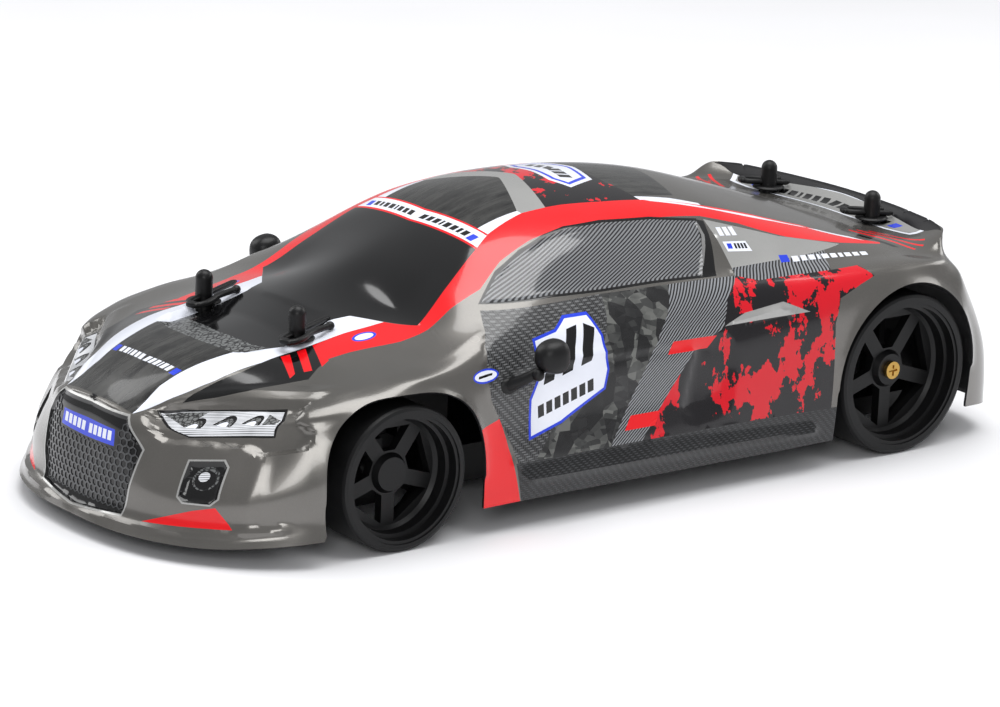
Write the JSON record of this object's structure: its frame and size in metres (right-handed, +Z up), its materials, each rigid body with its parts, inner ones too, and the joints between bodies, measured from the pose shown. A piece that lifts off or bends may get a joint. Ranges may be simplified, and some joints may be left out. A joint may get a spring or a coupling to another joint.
{
  "type": "radio controlled drift car",
  "caption": "Rear-drive model drift car: thin coupe shell on clipped posts over a tub chassis with steering, sprung arms, a swinging drive pod and slick tyres.",
  "frame": {"origin": "middle of the footprint on the ground", "axes": "+Z up, front of the car towards -Y, left side +X"},
  "size_m": [0.207, 0.416, 0.1165],
  "materials": {
    "shell_paint": "glossy metallic paint",
    "mirror_plastic": "gloss",
    "chassis_plastic": "fine moulded grain",
    "clip_plastic": "moulded satin",
    "rim_plastic": "matte",
    "tyre": "hard smooth slick",
    "steel": "bright",
    "brass": "bright",
    "foam": "closed cell foam",
    "battery_wrap": "shrink wrap",
    "lead_rubber": "insulation",
    "gear_nylon": "moulded nylon",
    "motor_can": "satin",
    "servo_plastic": "satin"
  },
  "bodies": {
    "chassis": {"chassis_tub": "chassis_plastic", "body_shell": "shell_paint", "mirror_left": "mirror_plastic", "mirror_right": "mirror_plastic", "front_body_mount": "chassis_plastic", "rear_body_mount": "chassis_plastic", "front_bulkhead": "chassis_plastic", "hinge_pins": "steel", "front_bumper": "foam", "front_shock_tower": "chassis_plastic", "rear_shock_tower": "chassis_plastic", "chassis_screws": "steel", "shock_bodies": "servo_plastic", "steering_servo": "servo_plastic", "battery_pack": "battery_wrap", "receiver_box": "servo_plastic", "receiver_cover": "servo_plastic", "power_leads": "lead_rubber", "servo_lead": "lead_rubber"},
    "front_arm_left": {"front_arm_left": "chassis_plastic", "kingpins_left": "steel"},
    "front_shock_rod_left": {"front_shock_rod_left": "steel", "front_spring_left": "steel"},
    "knuckle_left": {"knuckle_left": "chassis_plastic"},
    "front_wheel_left": {"front_rim_left": "rim_plastic", "front_tyre_left": "tyre", "front_wheel_bearings_left": "steel"},
    "tie_rod_left": {"tie_rod_left": "chassis_plastic"},
    "front_arm_right": {"front_arm_right": "chassis_plastic", "kingpins_right": "steel"},
    "front_shock_rod_right": {"front_shock_rod_right": "steel", "front_spring_right": "steel"},
    "knuckle_right": {"knuckle_right": "chassis_plastic"},
    "front_wheel_right": {"front_rim_right": "rim_plastic", "front_tyre_right": "tyre", "front_wheel_bearings_right": "steel"},
    "tie_rod_right": {"tie_rod_right": "chassis_plastic"},
    "steering_rack": {"steering_rack": "chassis_plastic"},
    "servo_horn": {"servo_horn": "gear_nylon"},
    "rear_pod": {"pod_frame": "chassis_plastic", "gearbox_housing": "chassis_plastic", "gearbox_cover": "chassis_plastic", "motor": "motor_can", "axle_bearings": "steel"},
    "rear_shock_rods": {"rear_shock_rods": "steel", "rear_springs": "steel"},
    "rear_axle": {"rear_axle": "steel", "spur_gear": "gear_nylon", "rear_rim_left": "rim_plastic", "rear_rim_right": "rim_plastic", "rear_tyre_left": "tyre", "rear_tyre_right": "tyre", "rear_wheel_screws": "brass"},
    "motor_pinion": {"motor_pinion": "brass"},
    "body_clip_front_left": {"body_clip_front_left": "clip_plastic"},
    "body_clip_front_right": {"body_clip_front_right": "clip_plastic"},
    "body_clip_rear_left": {"body_clip_rear_left": "clip_plastic"},
    "body_clip_rear_right": {"body_clip_rear_right": "clip_plastic"},
    "power_switch": {"power_switch": "gear_nylon"},
    "battery_strap": {"battery_strap": "chassis_plastic"}
  },
  "joints": [
    {"name": "front_arm_left_swing", "type": "hinge", "parent": "chassis", "child": "front_arm_left", "pos_m": [0.022, -0.1145, 0.014], "axis": [0, -1, 0], "range_deg": [-2.5, 1.5], "stiffness_Nm_per_rad": 3.5, "springref_deg": -2.01},
    {"name": "front_shock_left_slide", "type": "slide", "parent": "chassis", "child": "front_shock_rod_left", "axis": [0, 0, 1], "range_m": [-0.0008, 0.0005], "deforming": ["front_spring_left"]},
    {"name": "front_arm_right_swing", "type": "hinge", "parent": "chassis", "child": "front_arm_right", "pos_m": [-0.022, -0.1145, 0.014], "axis": [0, 1, 0], "range_deg": [-2.5, 1.5], "stiffness_Nm_per_rad": 3.5, "springref_deg": -2.01},
    {"name": "front_shock_right_slide", "type": "slide", "parent": "chassis", "child": "front_shock_rod_right", "axis": [0, 0, 1], "range_m": [-0.0008, 0.0005], "deforming": ["front_spring_right"]},
    {"name": "steer_left", "type": "hinge", "parent": "front_arm_left", "child": "knuckle_left", "pos_m": [0.06, -0.1145, 0.0286], "axis": [0, 0, 1], "range_deg": [-25, 25]},
    {"name": "steer_right", "type": "hinge", "parent": "front_arm_right", "child": "knuckle_right", "pos_m": [-0.06, -0.1145, 0.0286], "axis": [0, 0, 1], "range_deg": [-25.5, 25.5]},
    {"name": "front_wheel_left_spin", "type": "hinge", "parent": "knuckle_left", "child": "front_wheel_left", "pos_m": [0.077, -0.1145, 0.0286], "axis": [1, 0, 0], "continuous": true},
    {"name": "tie_rod_left_ball", "type": "hinge", "parent": "knuckle_left", "child": "tie_rod_left", "pos_m": [0.06, -0.1005, 0.0259], "axis": [0, 0, 1], "range_deg": [-25.5, 25.5]},
    {"name": "front_wheel_right_spin", "type": "hinge", "parent": "knuckle_right", "child": "front_wheel_right", "pos_m": [-0.077, -0.1145, 0.0286], "axis": [1, 0, 0], "continuous": true},
    {"name": "tie_rod_right_ball", "type": "hinge", "parent": "knuckle_right", "child": "tie_rod_right", "pos_m": [-0.06, -0.1005, 0.0259], "axis": [0, 0, 1], "range_deg": [-25.5, 25.5]},
    {"name": "rack_slide", "type": "slide", "parent": "chassis", "child": "steering_rack", "axis": [1, 0, 0], "range_m": [-0.0063, 0.0063]},
    {"name": "servo_horn_turn", "type": "hinge", "parent": "chassis", "child": "servo_horn", "pos_m": [0, -0.091, 0.037], "axis": [0, 1, 0], "range_deg": [-26, 26]},
    {"name": "rear_pod_swing", "type": "hinge", "parent": "chassis", "child": "rear_pod", "pos_m": [0, 0.086, 0.014], "axis": [1, 0, 0], "range_deg": [-2.5, 2.5], "stiffness_Nm_per_rad": 7.5, "springref_deg": -1.72},
    {"name": "rear_shock_slide", "type": "slide", "parent": "chassis", "child": "rear_shock_rods", "axis": [0, 0, 1], "range_m": [-0.003, 0.003], "deforming": ["rear_springs"]},
    {"name": "rear_axle_spin", "type": "hinge", "parent": "rear_pod", "child": "rear_axle", "pos_m": [0, 0.1425, 0.0342], "axis": [1, 0, 0], "continuous": true},
    {"name": "motor_spin", "type": "hinge", "parent": "rear_pod", "child": "motor_pinion", "pos_m": [0, 0.115, 0.0342], "axis": [1, 0, 0], "continuous": true},
    {"name": "body_clip_front_left_pull", "type": "slide", "parent": "chassis", "child": "body_clip_front_left", "axis": [0.3224, -0.9363, -0.1392], "range_m": [0, 0.025]},
    {"name": "body_clip_front_right_pull", "type": "slide", "parent": "chassis", "child": "body_clip_front_right", "axis": [0.3224, -0.9363, -0.1392], "range_m": [0, 0.025]},
    {"name": "body_clip_rear_left_pull", "type": "slide", "parent": "chassis", "child": "body_clip_rear_left", "axis": [-0.3886, -0.9155, 0.1045], "range_m": [0, 0.0135]},
    {"name": "body_clip_rear_right_pull", "type": "slide", "parent": "chassis", "child": "body_clip_rear_right", "axis": [-0.3886, -0.9155, 0.1045], "range_m": [0, 0.0135]},
    {"name": "power_switch_slide", "type": "slide", "parent": "chassis", "child": "power_switch", "axis": [1, 0, 0], "range_m": [0, 0.003]},
    {"name": "battery_strap_hinge", "type": "hinge", "parent": "chassis", "child": "battery_strap", "pos_m": [0.0475, 0.025, 0.036], "axis": [0, 1, 0], "range_deg": [0, 80]}
  ],
  "couplings": [
    {"joint": "front_shock_left_slide", "follows": "front_arm_left_swing", "m_per_rad": 0.016},
    {"joint": "front_shock_right_slide", "follows": "front_arm_right_swing", "m_per_rad": 0.016},
    {"joint": "steer_right", "follows": "steer_left", "ratio": 1},
    {"joint": "tie_rod_left_ball", "follows": "steer_left", "ratio": -1},
    {"joint": "tie_rod_right_ball", "follows": "steer_left", "ratio": -1},
    {"joint": "rack_slide", "follows": "steer_left", "m_per_rad": -0.014},
    {"joint": "servo_horn_turn", "follows": "steer_left", "ratio": 1.0145},
    {"joint": "rear_shock_slide", "follows": "rear_pod_swing", "m_per_rad": 0.066},
    {"joint": "motor_spin", "follows": "rear_axle_spin", "ratio": -4}
  ]
}
